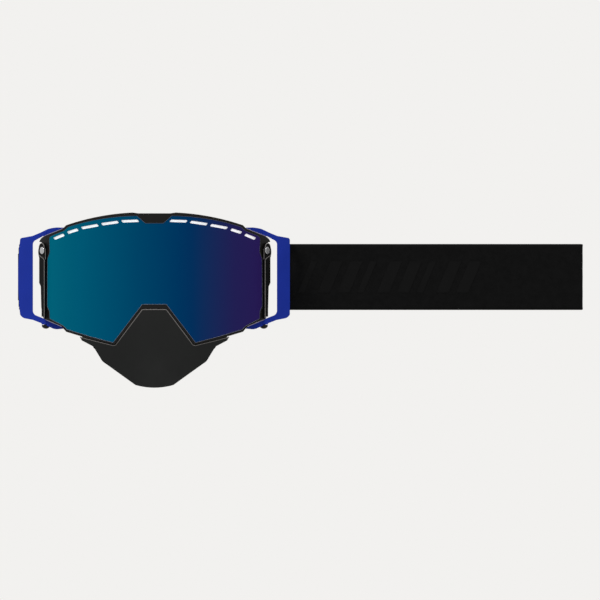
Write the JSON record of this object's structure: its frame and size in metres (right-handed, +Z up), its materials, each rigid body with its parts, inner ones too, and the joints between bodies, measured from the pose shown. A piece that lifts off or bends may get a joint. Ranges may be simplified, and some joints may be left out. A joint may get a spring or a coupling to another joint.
{
  "type": "ski goggles",
  "caption": "Ski goggles with a cylindrical mirror-coated lens, layered face foam, hinged outriggers, nose guard, lens lock levers and an elastic strap with a buckle.",
  "frame": {"origin": "back of the face foam on the middle plane, at the height of the strap's centre line", "axes": "+Z up as worn, lens facing -Y, +X to the right of someone looking at the lens"},
  "size_m": [0.4244, 0.1405, 0.131],
  "materials": {
    "frame_black": "fine moulded texture",
    "flange_black": "matte",
    "foam_dense": "open-cell foam",
    "foam_soft": "open-cell foam",
    "fleece": "brushed fleece",
    "gasket": "foam gasket",
    "vent_foam": "open-cell foam",
    "pin_black": "satin black",
    "pin_bright": "polished",
    "lens_coated": "mirror coating, teal to violet",
    "spacer_foam": "foam",
    "lens_clear": "clear",
    "filter_white": "fine felt",
    "guard_black": "soft-touch",
    "outrigger_blue": "satin",
    "pin_steel": "brushed",
    "lever_black": "satin",
    "strap_black": "woven elastic",
    "silicone": "silicone lines",
    "webbing_black": "woven",
    "buckle_black": "satin"
  },
  "bodies": {
    "frame": {"frame": "frame_black", "face_flange": "flange_black", "foam_base": "foam_dense", "foam_middle": "foam_soft", "foam_fleece": "fleece", "lens_gasket": "gasket", "vent_foam_top": "vent_foam", "vent_foam_bottom_left": "vent_foam", "vent_foam_bottom_right": "vent_foam", "lever_pin_left": "pin_bright", "lever_pin_right": "pin_bright"},
    "lens_unit": {"outer_lens": "lens_coated", "lens_spacer": "spacer_foam", "inner_lens": "lens_clear", "vent_filter_left": "filter_white", "vent_filter_right": "filter_white"},
    "nose_guard": {"nose_guard": "guard_black", "guard_studs": "guard_black"},
    "outrigger_left": {"outrigger_left": "outrigger_blue", "strap_pin_left": "pin_steel", "hinge_pins_left": "pin_black"},
    "outrigger_right": {"outrigger_right": "outrigger_blue", "strap_pin_right": "pin_steel", "hinge_pins_right": "pin_black"},
    "lever_left": {"lens_lever_left": "lever_black"},
    "lever_right": {"lens_lever_right": "lever_black"},
    "long_strap": {"strap_long": "strap_black", "strap_grip_lines": "silicone", "adjuster_webbing": "webbing_black", "buckle_plug": "buckle_black"},
    "slider": {"strap_slider": "buckle_black"},
    "short_strap": {"strap_short": "strap_black", "buckle_socket": "buckle_black"}
  },
  "joints": [
    {"name": "outrigger_left_hinge", "type": "hinge", "parent": "frame", "child": "outrigger_left", "pos_m": [-0.0817, 0.0038, 0], "axis": [0, 0, -1], "range_deg": [0, 14]},
    {"name": "outrigger_right_hinge", "type": "hinge", "parent": "frame", "child": "outrigger_right", "pos_m": [0.0817, 0.0038, 0], "axis": [0, 0, 1], "range_deg": [0, 14]},
    {"name": "lever_left_hinge", "type": "hinge", "parent": "frame", "child": "lever_left", "pos_m": [-0.08232, -0.00764, 0.0198], "axis": [0.8192, 0.5736, 0], "range_deg": [0, 30]},
    {"name": "lever_right_hinge", "type": "hinge", "parent": "frame", "child": "lever_right", "pos_m": [0.08232, -0.00764, 0.0198], "axis": [0.8192, -0.5736, 0], "range_deg": [0, 30]},
    {"name": "lens_slide", "type": "slide", "parent": "frame", "child": "lens_unit", "axis": [0, -1, 0], "range_m": [0, 0.06]},
    {"name": "guard_slide", "type": "slide", "parent": "frame", "child": "nose_guard", "axis": [0, -1, 0], "range_m": [0, 0.04]},
    {"name": "long_strap_swing", "type": "hinge", "parent": "outrigger_right", "child": "long_strap", "pos_m": [0.0985, 0.033, 0], "axis": [0, 0, 1], "range_deg": [-5, 85]},
    {"name": "slider_slide", "type": "slide", "parent": "long_strap", "child": "slider", "axis": [1, 0, 0], "range_m": [-0.035, 0.03]},
    {"name": "short_strap_swing", "type": "hinge", "parent": "outrigger_left", "child": "short_strap", "pos_m": [-0.0985, 0.033, 0], "axis": [0, 0, 1], "range_deg": [-10, 80]}
  ]
}
